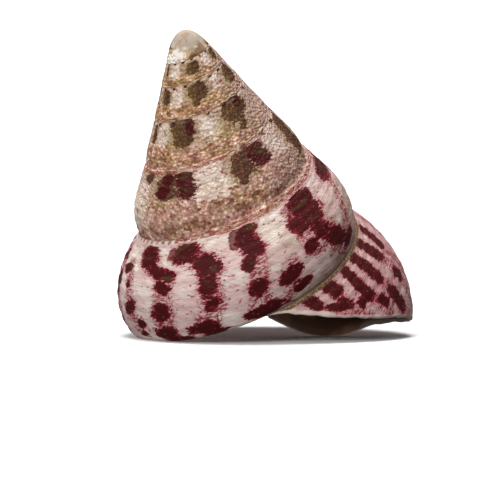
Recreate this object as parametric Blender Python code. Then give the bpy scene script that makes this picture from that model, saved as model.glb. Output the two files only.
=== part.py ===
"""A conical top shell resting on its mouth, one hollow solid in metres, +Z up.

The shell is grown. One whorl profile is carried round the shell's axis on a spiral and gets
larger by the same ratio with each turn. Growth is counted in turns, 0 at the lip and negative
towards the tip. The mesh has columns of points that follow the slanting growth lines, so that
the last column is the lip itself, and each whorl shares its lower edge with the next one.
The profile's ratios are multiplied by SIZE and by the whorl's own growth.
"""
import math

import bmesh
import bpy
from mathutils import Matrix, Vector

# Size and growth of the spiral
SIZE = 0.0307
GROWTH_PER_TURN = 1.442
TIP_TURN = -5.76
COLUMNS_PER_TURN = 58

# Whorl profile: the widest point, the lowest point of the base and the centre of the base
WIDE_RADIUS_SPIRE = 1.246
WIDE_RADIUS_BODY = 1.145
WIDE_DEPTH = 2.550
KEEL_RADIUS = 0.792
KEEL_DEPTH = 2.572
CENTRE_RADIUS = 0.040
CENTRE_DEPTH = 2.287
LOWER_ROUNDING = 0.140
KEEL_ROUNDING = 0.154
BASE_ROUNDING = 0.22
BASE_STRAIGHT_FROM = 0.75

# How the profile leaves the suture and meets the widest point, on the spire and on the body
SHOULDER_ANGLE_SPIRE = 33.0
SHOULDER_ANGLE_BODY = 67.0
SHOULDER_SPIRE = 0.148
SHOULDER_BODY = 0.054
SIDE_ROUNDING_SPIRE = 0.068
SIDE_ROUNDING_BODY = 0.394
SIDE_SWELL = 0.246
BODY_BEGINS = -3.5
BODY_IS_FULL = -1.0

# The last stretch before the lip grows downwards and draws in
PINCH = 0.176
PINCH_TURNS = 0.540
DROP = 0.185
DROP_TURNS = 0.233

# Where the next whorl joins, as a share of the way from the widest point to the keel
SUTURE_SHARE = 0.144
SUTURE_SHARE_AT_LIP = 0.265
SUTURE_SINKS_TURNS = 0.233

# How far behind the suture each part of a growth line lies, in turns. At the suture below, a
# growth line is a whole number of columns behind, so that the two whorls can share vertices.
LAG_COLUMNS = 13
LAG_AT_STATION = [(0.0, 0.0), (0.25, 0.046), (0.5, 0.103), (0.75, 0.157), (1.0, 0.210),
                  (1.15, 0.224), (1.5, 0.224), (2.0, 0.218), (2.5, 0.171), (3.0, 0.150)]

# Rows of points across the whorl: shoulder to widest point, then to the suture, keel and centre
SIDE_ROWS = 6
LOWER_ROWS = 4
BASE_ROWS = 4

# Rows of beads above the suture of the spire, fused with the whorl
BEADS_PER_TURN = 14.5
BEAD_HEIGHT = 0.034
BEAD_STATION = 0.86
BEAD_ROW_WIDTH = 0.16
BEADS_FADE_FROM = -4.0
BEADS_FADE_TO = -2.3

# Hollow of the shell: share of the way from the wall to the middle of the hollow
WALL_SHARE = 0.14
LIP_SHARE = 0.055
GLAZE_SHARE = 0.05
COLUMELLA_SHARE = 0.20
WALL_FULL_AFTER = 0.09
LIP_TURNS = 0.02
HOLLOW_TURNS = 1.5
RINGS_PER_TURN = 18

# Worn tip: how far the rounded cap stands above the first whorl, and its two rings
TIP_HEIGHT = 0.0024
TIP_RINGS = [(0.80, 0.50), (0.45, 0.86)]

# Pose on the table: turn about the shell's axis, then lean to the front, then to the left.
# The spots that it rests on are worn flat to this depth.
SPIN_DEG = -88.46
LEAN_FRONT_DEG = 20.55
LEAN_LEFT_DEG = 15.41
WORN_FLAT = 0.00028

SHELL_COLOUR = (0.62, 0.48, 0.45, 1.0)
SHELL_ROUGHNESS = 0.45


def ease(share):
    """Smooth step from 0 to 1."""
    share = min(max(share, 0.0), 1.0)
    return share * share * (3.0 - 2.0 * share)


def blend(start, end, share):
    return start + (end - start) * share


def bezier(points, share):
    """Point on the curve that these four control points give."""
    rest = 1.0 - share
    weights = (rest ** 3, 3 * rest * rest * share, 3 * rest * share * share, share ** 3)
    return sum((point * weight for point, weight in zip(points, weights)), Vector((0.0, 0.0)))


def smooth_through(knots, value):
    """Smooth curve through (position, height) knots, flat past both ends."""
    last = len(knots) - 1
    if value <= knots[0][0]:
        return knots[0][1]
    if value >= knots[last][0]:
        return knots[last][1]
    index = max(i for i in range(last) if knots[i][0] <= value)

    def slope(i):
        before = knots[max(i - 1, 0)]
        after = knots[min(i + 1, last)]
        return (after[1] - before[1]) / (after[0] - before[0])

    width = knots[index + 1][0] - knots[index][0]
    share = (value - knots[index][0]) / width
    square = share * share
    cube = square * share
    return ((2 * cube - 3 * square + 1) * knots[index][1]
            + (cube - 2 * square + share) * width * slope(index)
            + (3 * square - 2 * cube) * knots[index + 1][1]
            + (cube - square) * width * slope(index + 1))


def growth(turn):
    return GROWTH_PER_TURN ** turn


def lower_curve(turn):
    """Control points from the widest point round to the keel, as (radius, height) ratios."""
    body = ease((turn - BODY_BEGINS) / (BODY_IS_FULL - BODY_BEGINS))
    pinch = PINCH * ease(1.0 + turn / PINCH_TURNS)
    drop = DROP * ease(1.0 + turn / DROP_TURNS)
    wide = Vector((blend(WIDE_RADIUS_SPIRE, WIDE_RADIUS_BODY, body) - pinch, -WIDE_DEPTH - drop))
    keel = Vector((KEEL_RADIUS - pinch, -KEEL_DEPTH - drop))
    return (wide, wide + Vector((0.0, -LOWER_ROUNDING)), keel + Vector((KEEL_ROUNDING, 0.0)), keel)


def suture_share(turn):
    """Share of the lower curve at which the next whorl joins this one."""
    sunk = ease(1.0 + (turn + 1.0) / SUTURE_SINKS_TURNS)
    return blend(SUTURE_SHARE, SUTURE_SHARE_AT_LIP, sunk)


def upper_curve(turn):
    """Control points from the suture down to the widest point."""
    body = ease((turn - BODY_BEGINS) / (BODY_IS_FULL - BODY_BEGINS))
    suture = bezier(lower_curve(turn - 1.0), suture_share(turn - 1.0)) / GROWTH_PER_TURN
    wide = lower_curve(turn)[0]
    angle = math.radians(blend(SHOULDER_ANGLE_SPIRE, SHOULDER_ANGLE_BODY, body))
    shoulder = blend(SHOULDER_SPIRE, SHOULDER_BODY, body)
    rounding = blend(SIDE_ROUNDING_SPIRE, SIDE_ROUNDING_BODY, body)
    leaving = Vector((math.sin(angle), -math.cos(angle))) * shoulder
    return (suture, suture + leaving, wide + Vector((SIDE_SWELL, 1.0)) * rounding, wide)


def base_curve(turn):
    """Control points from the keel in to the centre of the base."""
    keel = lower_curve(turn)[3]
    centre = Vector((CENTRE_RADIUS, -CENTRE_DEPTH))
    return (keel, keel + Vector((-BASE_ROUNDING, 0.0)), blend(keel, centre, BASE_STRAIGHT_FROM), centre)


def profile_point(turn, station):
    """Radius and height on the whorl: station 0 suture, 1 widest, 2 keel, 3 centre."""
    if station <= 1.0:
        point = bezier(upper_curve(turn), station)
    elif station <= 2.0:
        point = bezier(lower_curve(turn), station - 1.0)
    else:
        point = bezier(base_curve(turn), station - 2.0)
    return point * (growth(turn) * SIZE)


def surface_point(turn, station):
    radius, height = profile_point(turn, station)
    angle = -2.0 * math.pi * turn
    return Vector((radius * math.cos(angle), radius * math.sin(angle), height))


def bead_lift(turn, station):
    """Height of the bead rows over the smooth whorl, largest just above the suture."""
    early = 1.0 - ease((turn - BEADS_FADE_FROM) / (BEADS_FADE_TO - BEADS_FADE_FROM))
    wave = 0.5 - 0.5 * math.cos(2.0 * math.pi * BEADS_PER_TURN * turn)
    row = math.exp(-((station - BEAD_STATION) / BEAD_ROW_WIDTH) ** 2)
    return BEAD_HEIGHT * early * wave * row * growth(turn) * SIZE


def outer_point(turn, station):
    """Point on the outside, with the beads raised straight out from the axis."""
    point = surface_point(turn, station)
    outward = Vector((point.x, point.y, 0.0)).normalized()
    return point + outward * bead_lift(turn, station)


SUTURE_ROW = SIDE_ROWS + 1
KEEL_ROW = SUTURE_ROW + LOWER_ROWS
ROW_COUNT = KEEL_ROW + BASE_ROWS + 1
SUTURE_LAG = LAG_COLUMNS / COLUMNS_PER_TURN
SHARED_COLUMNS = COLUMNS_PER_TURN - LAG_COLUMNS


def row_place(row, column_turn):
    """Growth turn and station of the point where a row of the mesh meets a column."""
    if row < SUTURE_ROW:
        station = row / SIDE_ROWS
    elif row < KEEL_ROW:
        suture = 1.0 + suture_share(column_turn - SUTURE_LAG)
        station = blend(suture, 2.0, (row - SUTURE_ROW) / LOWER_ROWS)
    else:
        station = 2.0 + (row - KEEL_ROW) / BASE_ROWS
    lag = SUTURE_LAG if row == SUTURE_ROW else smooth_through(LAG_AT_STATION, station)
    return column_turn - lag, station


def build_outside(mesh):
    """Spiral strip of the outside. Returns the grid of vertices, one list for each column."""
    count = round(-TIP_TURN * COLUMNS_PER_TURN)
    grid = [[None] * ROW_COUNT for _ in range(count + 1)]
    for column in range(count + 1):
        turn = (column - count) / COLUMNS_PER_TURN
        open_base = column + SHARED_COLUMNS >= count
        for row in range(ROW_COUNT if open_base else SUTURE_ROW + 1):
            if row == 0 and column >= SHARED_COLUMNS:
                grid[column][0] = grid[column - SHARED_COLUMNS][SUTURE_ROW]
            else:
                grid[column][row] = mesh.verts.new(outer_point(*row_place(row, turn)))
    for column in range(count):
        rows = ROW_COUNT if grid[column][-1] else SUTURE_ROW + 1
        for row in range(rows - 1):
            mesh.faces.new((grid[column][row], grid[column][row + 1],
                            grid[column + 1][row + 1], grid[column + 1][row]))
    return grid


def close_tip(mesh, grid):
    """Rounded worn cap over the first whorl."""
    before = [grid[column][0] for column in range(SHARED_COLUMNS)]
    before += [grid[0][row] for row in range(SUTURE_ROW, 0, -1)]
    edge = [vertex.co.copy() for vertex in before]
    top = max(point.z for point in edge) + TIP_HEIGHT
    for shrink, rise in TIP_RINGS:
        ring = []
        for point in edge:
            place = (point.x * shrink, point.y * shrink, blend(point.z, top, rise))
            ring.append(mesh.verts.new(place))
        join_rings(mesh, before, ring)
        before = ring
    close_ring(mesh, before, Vector((0.0, 0.0, top)))


def close_axis(mesh, grid):
    """Underside of the columella, where the base winds round the shell's axis."""
    edge = [column[-1] for column in grid if column[-1]]
    for below, above in zip(edge[1:], edge[2:]):
        mesh.faces.new((edge[0], below, above))


def join_rings(mesh, first, second):
    """Band of faces between two closed rings with the same number of vertices."""
    count = len(first)
    for i in range(count):
        j = (i + 1) % count
        mesh.faces.new((first[i], first[j], second[j], second[i]))


def close_ring(mesh, ring, point):
    tip = mesh.verts.new(point)
    count = len(ring)
    for i in range(count):
        mesh.faces.new((ring[i], ring[(i + 1) % count], tip))


def hollow_ring(back):
    """Ring of the hollow, this many turns behind the mouth: outer wall, then inner wall."""
    outer = [row_place(row, -back) for row in range(ROW_COUNT)]
    behind = -back - SHARED_COLUMNS / COLUMNS_PER_TURN
    inner = [row_place(row, behind) for row in range(ROW_COUNT - 1, SUTURE_ROW, -1)]
    wall = [surface_point(turn, station) for turn, station in outer + inner]
    middle = sum(wall, Vector()) / len(wall)
    lip = blend(LIP_SHARE, WALL_SHARE, ease(back / WALL_FULL_AFTER))
    shares = [lip] * len(outer) + [GLAZE_SHARE] * len(inner)
    ring = []
    for point, share, (_, station) in zip(wall, shares, outer + inner):
        near_axis = max(station - 2.0, 0.0)
        share = blend(share, COLUMELLA_SHARE, near_axis)
        ring.append(point + (middle - point) * share)
    return ring


def build_hollow(mesh, grid):
    """The hollow from the lip inwards, closed at its far end inside the spire."""
    inner_lip = grid[-1 - SHARED_COLUMNS]
    before = grid[-1] + [inner_lip[row] for row in range(ROW_COUNT - 1, SUTURE_ROW, -1)]
    deep_rings = round(HOLLOW_TURNS * RINGS_PER_TURN)
    backs = [0.0, LIP_TURNS] + [(i + 1) / RINGS_PER_TURN for i in range(deep_rings)]
    for back in backs:
        ring = [mesh.verts.new(point) for point in hollow_ring(back)]
        join_rings(mesh, before, ring)
        before = ring
    end = sum((vertex.co for vertex in before), Vector()) / len(before)
    close_ring(mesh, before, end)


def pose_on_table(mesh):
    """Lean the shell as it lies, wear its resting spots flat and centre it on the origin."""
    pose = (Matrix.Rotation(-math.radians(LEAN_LEFT_DEG), 4, "Y")
            @ Matrix.Rotation(math.radians(LEAN_FRONT_DEG), 4, "X")
            @ Matrix.Rotation(math.radians(SPIN_DEG), 4, "Z"))
    bmesh.ops.transform(mesh, matrix=pose, verts=mesh.verts)
    table = min(vertex.co.z for vertex in mesh.verts) + WORN_FLAT
    for vertex in mesh.verts:
        vertex.co.z = max(vertex.co.z, table)
    xs = [vertex.co.x for vertex in mesh.verts]
    ys = [vertex.co.y for vertex in mesh.verts]
    middle = Vector(((min(xs) + max(xs)) / 2.0, (min(ys) + max(ys)) / 2.0, table))
    bmesh.ops.translate(mesh, vec=-middle, verts=mesh.verts)


def shell_material():
    material = bpy.data.materials.new("shell")
    material.use_nodes = True
    shader = material.node_tree.nodes["Principled BSDF"]
    shader.inputs["Base Color"].default_value = SHELL_COLOUR
    shader.inputs["Roughness"].default_value = SHELL_ROUGHNESS
    shader.inputs["Metallic"].default_value = 0.0
    return material


def make_shell():
    mesh = bmesh.new()
    grid = build_outside(mesh)
    close_tip(mesh, grid)
    close_axis(mesh, grid)
    build_hollow(mesh, grid)
    pose_on_table(mesh)
    bmesh.ops.recalc_face_normals(mesh, faces=mesh.faces)
    bmesh.ops.triangulate(mesh, faces=mesh.faces)
    data = bpy.data.meshes.new("shell")
    mesh.to_mesh(data)
    mesh.free()
    data.shade_smooth()
    data.materials.append(shell_material())
    shell = bpy.data.objects.new("shell", data)
    bpy.context.scene.collection.objects.link(shell)


for old in list(bpy.data.objects):
    bpy.data.objects.remove(old, do_unlink=True)
make_shell()
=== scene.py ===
import math

import bpy
import numpy as np
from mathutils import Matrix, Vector


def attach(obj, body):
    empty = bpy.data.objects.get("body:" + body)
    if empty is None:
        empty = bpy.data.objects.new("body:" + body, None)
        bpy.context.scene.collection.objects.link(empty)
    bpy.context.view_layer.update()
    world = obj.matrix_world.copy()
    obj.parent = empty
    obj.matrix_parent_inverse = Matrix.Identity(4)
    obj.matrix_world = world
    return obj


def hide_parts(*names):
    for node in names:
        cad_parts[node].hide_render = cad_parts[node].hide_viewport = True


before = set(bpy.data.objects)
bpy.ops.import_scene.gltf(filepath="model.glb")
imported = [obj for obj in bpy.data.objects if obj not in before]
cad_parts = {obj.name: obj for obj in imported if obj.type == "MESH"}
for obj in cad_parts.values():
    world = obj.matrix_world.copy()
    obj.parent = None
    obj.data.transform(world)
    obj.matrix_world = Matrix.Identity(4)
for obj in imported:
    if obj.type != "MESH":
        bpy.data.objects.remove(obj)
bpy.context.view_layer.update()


# Camera: it stands 44 cm in front of the shell, at half its height, and looks slightly down.
# A long lens keeps the shell's outline nearly free of perspective.
CAMERA_STANDS = (-0.003085, -0.43995, 0.02999)
CAMERA_LOOKS_AT = (-0.003085, -0.000141, 0.017110)
LENS_MM = 158.4

camera_data = bpy.data.cameras.new("camera")
camera_data.lens = LENS_MM
camera_data.sensor_width = 36.0
camera_data.clip_start = 0.01
camera = bpy.data.objects.new("camera", camera_data)
camera.location = CAMERA_STANDS
look = Vector(CAMERA_LOOKS_AT) - Vector(CAMERA_STANDS)
camera.rotation_euler = look.to_track_quat("-Z", "Y").to_euler()
bpy.context.scene.collection.objects.link(camera)
bpy.context.scene.camera = camera


# Stage: a plain white board that the shell lies on, curved up behind it without an edge.
# A soft lamp to the left of the camera lights it, with one above, a weak one low in front and
# one for the board behind. The board gives no light back to the shell.
BOARD_HALF_WIDTH = 2.0
BOARD_FRONT = -1.6
BEND_STARTS = 0.5
BEND_RADIUS = 0.5
BOARD_TOP = 2.0
BEND_STEPS = 24
BOARD_WHITE = (0.88, 0.88, 0.88, 1.0)
BOARD_ROUGHNESS = 0.7
BOARD_SHINE = 0.1
ROOM_LIGHT = 0.22

side_line = [(BOARD_FRONT, 0.0)]
for i in range(BEND_STEPS + 1):
    angle = math.radians(90.0 * i / BEND_STEPS)
    side_line.append((BEND_STARTS + BEND_RADIUS * math.sin(angle),
                      BEND_RADIUS * (1.0 - math.cos(angle))))
side_line.append((BEND_STARTS + BEND_RADIUS, BOARD_TOP))
board_points = [(x, y, z) for x in (-BOARD_HALF_WIDTH, BOARD_HALF_WIDTH) for y, z in side_line]
line_count = len(side_line)
board_faces = [(i, i + line_count, i + line_count + 1, i + 1) for i in range(line_count - 1)]
board_mesh = bpy.data.meshes.new("board")
board_mesh.from_pydata(board_points, [], board_faces)
board_mesh.shade_smooth()
board_paint = bpy.data.materials.new("board_white")
board_paint.use_nodes = True
board_shader = board_paint.node_tree.nodes["Principled BSDF"]
for name, value in (("Base Color", BOARD_WHITE), ("Roughness", BOARD_ROUGHNESS),
                    ("Specular IOR Level", BOARD_SHINE)):
    board_shader.inputs[name].default_value = value
board_mesh.materials.append(board_paint)
board = bpy.data.objects.new("board", board_mesh)
board.visible_diffuse = False
board.visible_glossy = False
bpy.context.scene.collection.objects.link(board)

LAMPS = (
    # name, place, aimed at, size, watts
    ("front_lamp", (-0.38, -0.70, 0.34), (0.0, 0.0, 0.03), 0.36, 5.4),
    ("top_lamp", (-0.10, -0.10, 1.00), (0.0, 0.0, 0.0), 0.70, 7.0),
    ("low_lamp", (0.02, -0.60, 0.03), (0.0, 0.0, 0.01), 0.20, 0.5),
    ("board_lamp", (0.0, 0.20, 1.00), (0.0, 0.75, 0.0), 0.90, 12.0),
)
for name, place, aim, size, watts in LAMPS:
    lamp_data = bpy.data.lights.new(name, "AREA")
    lamp_data.shape = "DISK"
    lamp_data.size = size
    lamp_data.energy = watts
    lamp = bpy.data.objects.new(name, lamp_data)
    lamp.location = place
    lamp.rotation_euler = (Vector(aim) - Vector(place)).to_track_quat("-Z", "Y").to_euler()
    bpy.context.scene.collection.objects.link(lamp)

# The room is seen at full white, and lights the shell only weakly.
room = bpy.data.worlds.new("room")
room.use_nodes = True
room_light = room.node_tree.nodes["Background"]
room_light.inputs["Color"].default_value = (1.0, 1.0, 1.0, 1.0)
seen_white = room.node_tree.nodes.new("ShaderNodeMapRange")
seen_white.inputs["To Min"].default_value = ROOM_LIGHT
seen_by = room.node_tree.nodes.new("ShaderNodeLightPath")
room.node_tree.links.new(seen_by.outputs["Is Camera Ray"], seen_white.inputs["Value"])
room.node_tree.links.new(seen_white.outputs["Result"], room_light.inputs["Strength"])
bpy.context.scene.world = room
bpy.context.scene.view_settings.view_transform = "Standard"


# Shell wall: lime that the animal laid down at the mouth, so the whole wall is one sheet wound
# round the shell's axis. It is laid out flat here, with one column of points for each growth
# line, and the next section winds it up.
COLUMNS_PER_TURN = 348
LAG_COLUMNS = 78
FIRST_COLUMN = -2004
SIDE_ROWS = 36
EDGE_ROWS = 3
LOWER_ROWS = 12
BASE_ROWS = 14
SUTURE_SHARE = 0.144
SUTURE_SHARE_AT_LIP = 0.265
SUTURE_SINKS_TURNS = 0.233
LAG_STATIONS = np.array([0.0, 0.25, 0.5, 0.75, 1.0, 1.15, 1.5, 2.0, 2.5, 3.0])
LAG_TURNS = np.array([0.0, 0.046, 0.103, 0.157, 0.210, 0.224, 0.224, 0.218, 0.171, 0.150])
CAP_RINGS = 9
HOLLOW_TURNS = 1.5
HOLLOW_RINGS_PER_TURN = 36
WALL_SHARE = 0.14
LIP_SHARE = 0.055
LIP_NOSE = 0.0012
GLAZE_SHARE = 0.05
COLUMELLA_SHARE = 0.20
WALL_FULL_AFTER = 0.09
GROWTH_PER_TURN = 1.442

# Lengths on the wall, which the finish lays its grain by: along the whole winding as far as the
# lip, and at the lip from the suture down to each of these stations.
ALONG_MM = 632.0
DOWN_STATIONS = (0.0, 0.1, 0.3, 0.6, 0.8, 0.9, 1.0, 1.15, 1.5, 2.0, 2.5, 3.0)
DOWN_MM = (0.0, 1.4, 6.2, 15.8, 21.8, 24.2, 26.1, 27.6, 32.2, 40.6, 53.0, 65.3)

SUTURE_ROW = SIDE_ROWS + EDGE_ROWS
KEEL_ROW = SUTURE_ROW + LOWER_ROWS
ROW_COUNT = KEEL_ROW + BASE_ROWS + 1
SHARED_COLUMNS = COLUMNS_PER_TURN - LAG_COLUMNS


def ease(share):
    share = np.clip(share, 0.0, 1.0)
    return share * share * (3.0 - 2.0 * share)


def suture_share(turn):
    sunk = ease(1.0 + (turn + 1.0) / SUTURE_SINKS_TURNS)
    return SUTURE_SHARE + (SUTURE_SHARE_AT_LIP - SUTURE_SHARE) * sunk


def lag_at(station):
    """Turns that a growth line has fallen behind at this station, on a smooth curve."""
    last = len(LAG_STATIONS) - 1
    i = min(max(int(np.searchsorted(LAG_STATIONS, station, side="right")) - 1, 0), last - 1)

    def slope(k):
        before, after = max(k - 1, 0), min(k + 1, last)
        return (LAG_TURNS[after] - LAG_TURNS[before]) / (LAG_STATIONS[after] - LAG_STATIONS[before])

    width = LAG_STATIONS[i + 1] - LAG_STATIONS[i]
    share = min(max((station - LAG_STATIONS[i]) / width, 0.0), 1.0)
    square = share * share
    cube = square * share
    return ((2 * cube - 3 * square + 1) * LAG_TURNS[i]
            + (cube - 2 * square + share) * width * slope(i)
            + (3 * square - 2 * cube) * LAG_TURNS[i + 1]
            + (cube - square) * width * slope(i + 1))


# The lip is broken back a little all along, and more in a few chips, each with its middle row,
# its width in rows and its depth in turns.
CHIPS = ((5, 1.4, 0.0034), (8.5, 1.0, 0.0026), (11, 1.2, 0.0028), (18, 0.9, 0.0014), (27, 1.2, 0.0018),
         (43.5, 1.8, 0.0050), (58, 2.0, 0.0030))
CHIP_REACH_TURNS = 0.020
ROUGH_EDGE_TURNS = 0.0009
row_numbers = np.arange(ROW_COUNT)
chips = np.random.default_rng(3).uniform(0.0, ROUGH_EDGE_TURNS, ROW_COUNT)
for middle_row, rows_wide, depth in CHIPS:
    chips += depth * np.exp(-((row_numbers - middle_row) / rows_wide) ** 2)


def growth_line(column_turn, rows):
    """Turns and stations of one growth line, from the suture down and in to the axis."""
    share = float(suture_share(column_turn - LAG_COLUMNS / COLUMNS_PER_TURN))
    near_lip = float(ease(1.0 + column_turn / CHIP_REACH_TURNS))
    places = []
    for row in rows:
        if row <= SIDE_ROWS:
            station = row / SIDE_ROWS
        elif row <= SUTURE_ROW:
            station = 1.0 + share * (row - SIDE_ROWS) / EDGE_ROWS
        elif row <= KEEL_ROW:
            station = 1.0 + share + (1.0 - share) * (row - SUTURE_ROW) / LOWER_ROWS
        else:
            station = 2.0 + (row - KEEL_ROW) / BASE_ROWS
        lag = LAG_COLUMNS / COLUMNS_PER_TURN if row == SUTURE_ROW else lag_at(station)
        places.append((column_turn - lag - chips[row] * near_lip, station))
    return places


sheet_points, sheet_faces = [], []


def add_point(turn, station, line, cap=0.0, ring=-1, share=0.0):
    sheet_points.append((turn, station, line, cap, ring, share))
    return len(sheet_points) - 1


def add_band(first, second):
    """Faces between two closed rings of points."""
    count = len(first)
    for i in range(count):
        j = (i + 1) % count
        sheet_faces.append((first[i], first[j], second[j], second[i]))


def close_ring(ring, middle):
    """Faces from a closed ring of points to one point in its middle."""
    for i, point in enumerate(ring):
        sheet_faces.append((point, ring[(i + 1) % len(ring)], middle))


# The outside: one line of points for each column. Its top point is the suture point of the whorl
# above, from the turn before.
grid = []
for column in range(FIRST_COLUMN, 1):
    column_turn = column / COLUMNS_PER_TURN
    index = column - FIRST_COLUMN
    rows = range(ROW_COUNT if column + SHARED_COLUMNS >= 0 else SUTURE_ROW + 1)
    line = []
    for row, (turn, station) in zip(rows, growth_line(column_turn, rows)):
        if row == 0 and index >= SHARED_COLUMNS:
            line.append(grid[index - SHARED_COLUMNS][SUTURE_ROW])
        else:
            line.append(add_point(turn, station, column_turn))
    grid.append(line)
suture_corners = []
for index, (before, after) in enumerate(zip(grid, grid[1:])):
    first_corner = 4 * len(sheet_faces)
    for corner, column in ((first_corner, index), (first_corner + 3, index + 1)):
        if column >= SHARED_COLUMNS:
            suture_corners.append((corner, (column + FIRST_COLUMN) / COLUMNS_PER_TURN))
    for row in range(len(before) - 1):
        sheet_faces.append((before[row], before[row + 1], after[row + 1], after[row]))

# The tip: rings over the first whorl's open top and over the start of the sheet.
cap_edge = [grid[column][0] for column in range(SHARED_COLUMNS)]
cap_edge += [grid[0][row] for row in range(SUTURE_ROW, 0, -1)]
cap_ring = cap_edge
for step in range(1, CAP_RINGS):
    higher = [add_point(*sheet_points[i][:3], step / CAP_RINGS) for i in cap_edge]
    add_band(cap_ring, higher)
    cap_ring = higher
first_turn, _, first_line = sheet_points[0][:3]
close_ring(cap_ring, add_point(first_turn, 0.0, first_line, 1.0))

# The base closes round the axis.
axis_edge = [line[-1] for line in grid if len(line) == ROW_COUNT]
for below, above in zip(axis_edge[1:], axis_edge[2:]):
    sheet_faces.append((axis_edge[0], below, above))

# The hollow behind the mouth: rings that stand in from the wall, and a point that closes them.
inner_rows = range(ROW_COUNT - 1, SUTURE_ROW, -1)
mouth_ring = grid[-1] + [grid[-1 - SHARED_COLUMNS][row] for row in inner_rows]
ring_backs = [(-LIP_NOSE, 0.5), (0.0, 1.0), (0.02, 1.0)]
deep_rings = round(HOLLOW_TURNS * HOLLOW_RINGS_PER_TURN)
ring_backs += [((i + 1) / HOLLOW_RINGS_PER_TURN, 1.0) for i in range(deep_rings)]
for ring, (back, fullness) in enumerate(ring_backs):
    outer = growth_line(-back, range(ROW_COUNT))
    inner = growth_line(-back - SHARED_COLUMNS / COLUMNS_PER_TURN, inner_rows)
    wall = LIP_SHARE + (WALL_SHARE - LIP_SHARE) * float(ease(back / WALL_FULL_AFTER))
    points = []
    for places, share in ((outer, wall), (inner, GLAZE_SHARE)):
        for turn, station in places:
            near_axis = max(station - 2.0, 0.0)
            depth = (share + (COLUMELLA_SHARE - share) * near_axis) * fullness
            points.append(add_point(turn, station, -back, 0.0, ring, depth))
    add_band(mouth_ring, points)
    mouth_ring = points
close_ring(mouth_ring, add_point(*outer[SIDE_ROWS], -back, 0.0, ring, 1.0))

turns, stations, lines, caps, rings, shares = np.array(sheet_points).T
sheet = bpy.data.meshes.new("shell_wall")
sheet.from_pydata(np.stack([turns, stations, 0.0 * turns], 1).tolist(), [], sheet_faces)
for name, values in (("turn", turns), ("station", stations), ("line", lines), ("cap", caps),
                     ("share", shares), ("down", np.interp(stations, DOWN_STATIONS, DOWN_MM))):
    sheet.attributes.new(name, "FLOAT", "POINT").data.foreach_set("value", values)
sheet.attributes.new("ring", "INT", "POINT").data.foreach_set("value", rings.astype(int))


def keep_at_corners(name, values):
    sheet.attributes.new(name, "FLOAT", "CORNER").data.foreach_set("value", values)


# Two whorls share the points of the suture between them, so what the finish reads is kept at the
# corners of the faces: there the lower whorl has its own turn and station 0.
corner_points = np.array([point for face in sheet_faces for point in face])
turns, stations, lines = turns[corner_points], stations[corner_points], lines[corner_points]
for corner, turn in suture_corners:
    turns[corner] = turn
    lines[corner] = turn
    stations[corner] = 0.0
keep_at_corners("laid_turn", turns)
keep_at_corners("laid_station", stations)
keep_at_corners("laid_line", lines)
local_growth = GROWTH_PER_TURN ** turns
down_mm = np.interp(stations, DOWN_STATIONS, DOWN_MM) * local_growth
flat_mm = np.stack([ALONG_MM * local_growth, down_mm, 0.0 * turns], 1)
sheet.attributes.new("laid_mm", "FLOAT_VECTOR", "CORNER").data.foreach_set("vector", flat_mm.ravel())


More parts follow.
